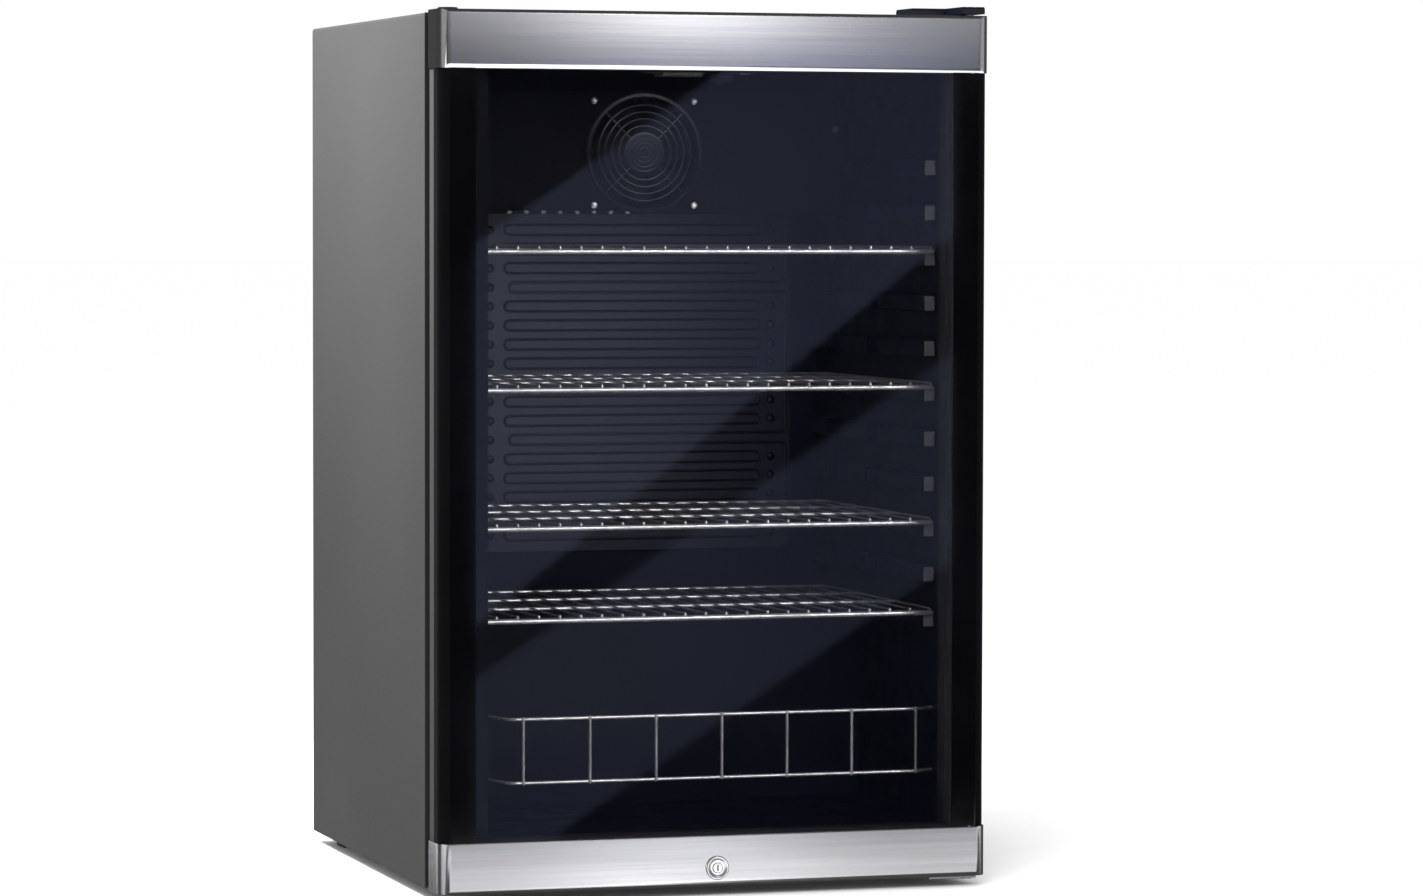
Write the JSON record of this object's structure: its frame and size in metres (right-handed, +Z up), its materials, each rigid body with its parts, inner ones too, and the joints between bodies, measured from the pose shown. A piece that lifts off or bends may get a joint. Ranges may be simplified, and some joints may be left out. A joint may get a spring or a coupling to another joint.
{
  "type": "wine cooler",
  "caption": "Free-standing undercounter wine cooler: insulated cabinet, lockable full-glass door hinged on the right, wire shelves, bottle guard and a stirring fan.",
  "frame": {"origin": "centre of the footprint, on the floor under the feet", "axes": "+Z up, the glass door faces -Y, +X to the right seen from the front"},
  "size_m": [0.545, 0.555, 0.8475],
  "materials": {
    "cabinet_paint": "satin",
    "black_paint": "satin",
    "galvanised_steel": "satin",
    "brushed_trim": "satin",
    "gloss_black": "gloss",
    "liner_plastic": "satin",
    "dark_plastic": "satin",
    "grey_plastic": "satin",
    "white_plastic": "satin",
    "lens_plastic": "satin",
    "chrome_wire": "polished",
    "copper_tube": "satin",
    "coated_aluminium": "satin",
    "magnetic_gasket": "matte",
    "insulation_foam": "matte",
    "tinted_glass": "polished"
  },
  "bodies": {
    "cabinet": {"outer_shell": "cabinet_paint", "front_frame": "black_paint", "back_panel": "galvanised_steel", "base_pan": "galvanised_steel", "inner_liner": "liner_plastic", "foam_insulation": "insulation_foam", "rear_foot_left": "dark_plastic", "rear_foot_right": "dark_plastic", "evaporator_plate": "coated_aluminium", "fan_housing": "dark_plastic", "fan_guard": "dark_plastic", "fan_motor": "dark_plastic", "fan_screw_1": "chrome_wire", "fan_screw_2": "chrome_wire", "fan_screw_3": "chrome_wire", "fan_screw_4": "chrome_wire", "housing_screw": "chrome_wire", "lamp_housing": "dark_plastic", "lamp_lens": "lens_plastic", "bottle_guard": "chrome_wire", "top_hinge_plate": "galvanised_steel", "top_hinge_pin": "chrome_wire", "hinge_cover": "dark_plastic", "bottom_hinge_plate": "galvanised_steel", "bottom_hinge_pin": "chrome_wire", "lock_catch": "galvanised_steel", "compressor": "black_paint", "relay_cover": "dark_plastic", "drip_tray": "dark_plastic", "condenser": "black_paint", "condenser_strap_left": "galvanised_steel", "condenser_strap_right": "galvanised_steel", "filter_drier": "copper_tube", "discharge_pipe": "copper_tube", "suction_pipe": "copper_tube", "mains_inlet": "dark_plastic"},
    "door": {"outer_glass": "tinted_glass", "glazing_spacer": "grey_plastic", "inner_glass": "tinted_glass", "door_inner_frame": "grey_plastic", "left_pillar": "gloss_black", "right_pillar": "gloss_black", "top_trim": "brushed_trim", "bottom_trim": "brushed_trim", "door_gasket": "magnetic_gasket", "top_bush": "dark_plastic", "bottom_bush": "dark_plastic", "blanking_plug": "dark_plastic", "lock_barrel": "chrome_wire"},
    "lock": {"lock_plug": "chrome_wire", "lock_cam": "galvanised_steel"},
    "fan": {"fan_blades": "grey_plastic"},
    "thermostat": {"thermostat_knob": "grey_plastic"},
    "light_rocker": {"light_switch": "white_plastic"},
    "shelf_top": {"shelf_1": "chrome_wire"},
    "shelf_upper_middle": {"shelf_2": "chrome_wire"},
    "shelf_lower_middle": {"shelf_3": "chrome_wire"},
    "shelf_bottom": {"shelf_4": "chrome_wire"},
    "levelling_foot_left": {"front_foot_left": "dark_plastic"},
    "levelling_foot_right": {"front_foot_right": "dark_plastic"}
  },
  "joints": [
    {"name": "door_hinge", "type": "hinge", "parent": "cabinet", "child": "door", "pos_m": [0.2585, -0.2535, 0.412], "axis": [0, 0, 1], "range_deg": [0, 105]},
    {"name": "lock_turn", "type": "hinge", "parent": "door", "child": "lock", "pos_m": [0, -0.2525, 0.028], "axis": [0, -1, 0], "range_deg": [0, 90]},
    {"name": "fan_spin", "type": "hinge", "parent": "cabinet", "child": "fan", "pos_m": [0.027, 0.0755, 0.7095], "axis": [0, 1, 0], "continuous": true},
    {"name": "thermostat_turn", "type": "hinge", "parent": "cabinet", "child": "thermostat", "pos_m": [0.05, -0.1185, 0.782], "axis": [0, 0, -1], "range_deg": [0, 300]},
    {"name": "light_rocker_tilt", "type": "hinge", "parent": "cabinet", "child": "light_rocker", "pos_m": [0.08, -0.1025, 0.788], "axis": [-1, 0, 0], "range_deg": [0, 14]},
    {"name": "shelf_top_slide", "type": "slide", "parent": "cabinet", "child": "shelf_top", "axis": [0, -1, 0], "range_m": [0, 0.02]},
    {"name": "shelf_upper_middle_slide", "type": "slide", "parent": "cabinet", "child": "shelf_upper_middle", "axis": [0, -1, 0], "range_m": [0, 0.02]},
    {"name": "shelf_lower_middle_slide", "type": "slide", "parent": "cabinet", "child": "shelf_lower_middle", "axis": [0, -1, 0], "range_m": [0, 0.02]},
    {"name": "shelf_bottom_slide", "type": "slide", "parent": "cabinet", "child": "shelf_bottom", "axis": [0, -1, 0], "range_m": [0, 0.02]},
    {"name": "levelling_left_turn", "type": "hinge", "parent": "cabinet", "child": "levelling_foot_left", "pos_m": [-0.225, -0.1705, 0.006], "axis": [0, 0, 1], "continuous": true},
    {"name": "levelling_right_turn", "type": "hinge", "parent": "cabinet", "child": "levelling_foot_right", "pos_m": [0.225, -0.1705, 0.006], "axis": [0, 0, 1], "continuous": true}
  ]
}
